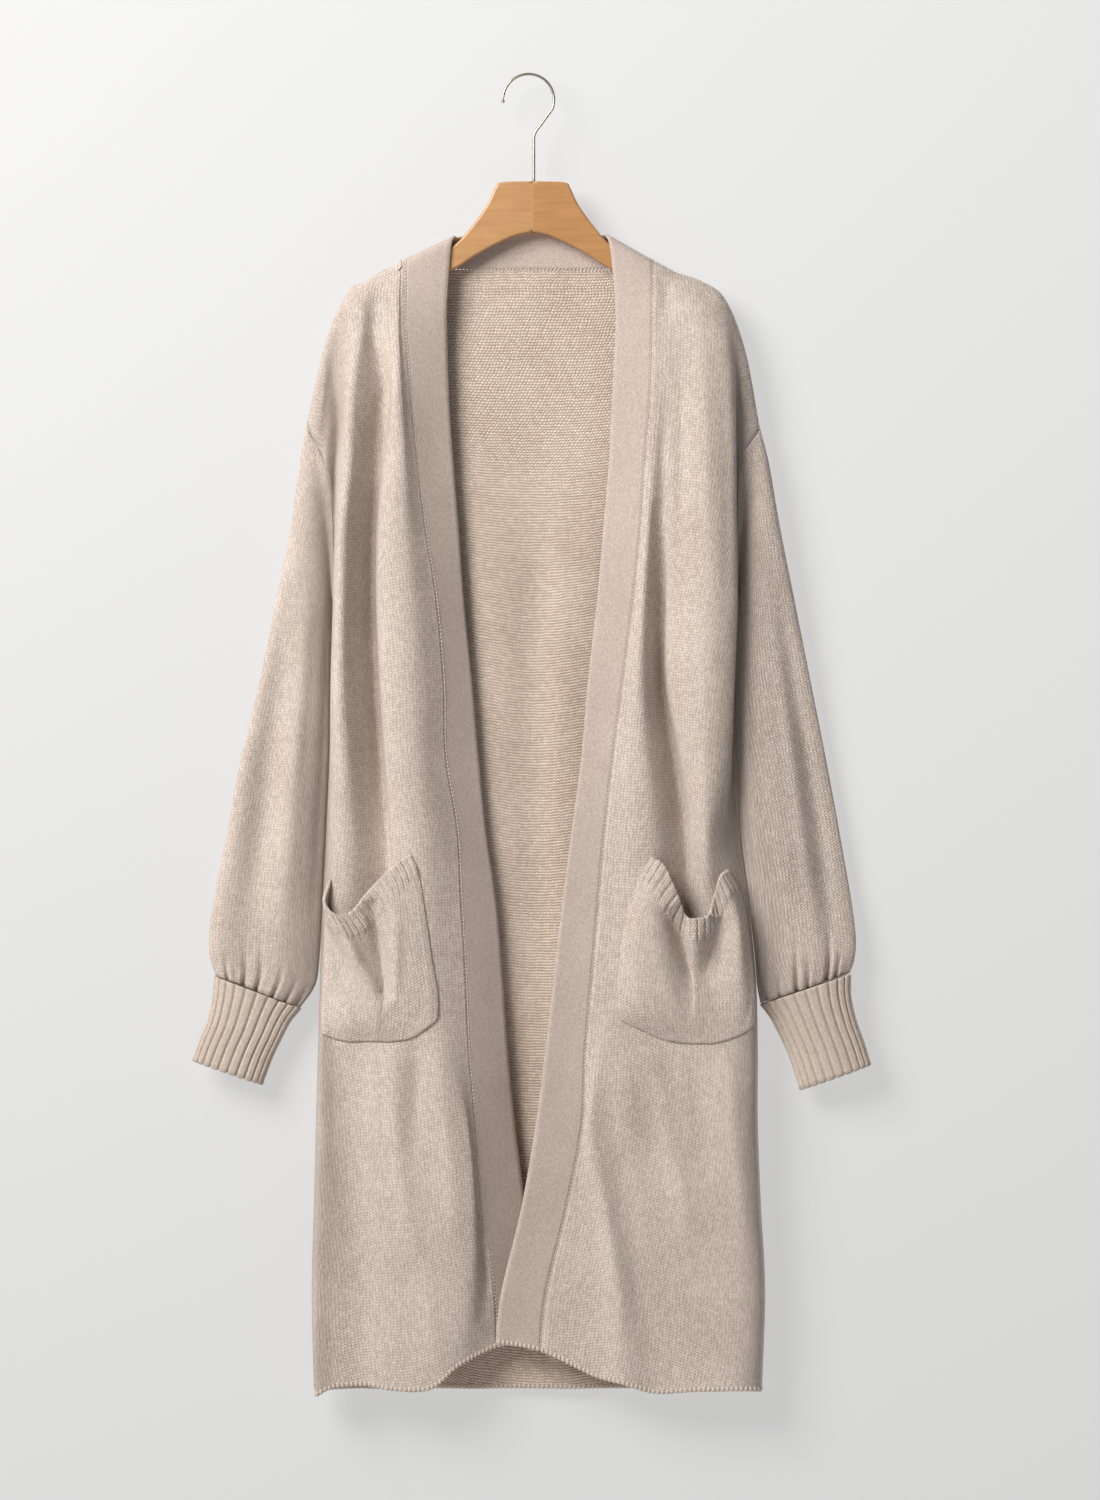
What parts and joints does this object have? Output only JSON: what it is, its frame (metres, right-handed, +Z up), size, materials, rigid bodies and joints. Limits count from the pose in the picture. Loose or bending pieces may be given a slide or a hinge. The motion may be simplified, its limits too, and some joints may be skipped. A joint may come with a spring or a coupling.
{
  "type": "open-front cardigan on a hanger",
  "caption": "Long open-front knit cardigan with slouchy patch pockets and ribbed cuffs, hanging in folds on a wooden hanger with a wire hook.",
  "frame": {"origin": "the inside top of the hook's loop, where a rail carries it", "axes": "+Z up, +X towards the wearer's left, -Y out of the garment's front"},
  "size_m": [0.6482, 0.0614, 1.2596],
  "materials": {
    "knit": "fine plain knit, matt",
    "band_knit": "fine dense knit, matt",
    "rib_knit": "ribbed knit, matt",
    "pocket_knit": "plain knit with a ribbed rim, matt",
    "wood": "satin varnish",
    "steel": "nickel plated wire, satin"
  },
  "bodies": {
    "root": {"back": "knit", "front_left": "knit", "front_right": "knit", "sleeve_left": "knit", "sleeve_right": "knit", "band": "band_knit", "cuff_left": "rib_knit", "cuff_right": "rib_knit", "pocket_left": "pocket_knit", "pocket_right": "pocket_knit", "hanger": "wood", "hook": "steel"}
  },
  "joints": []
}
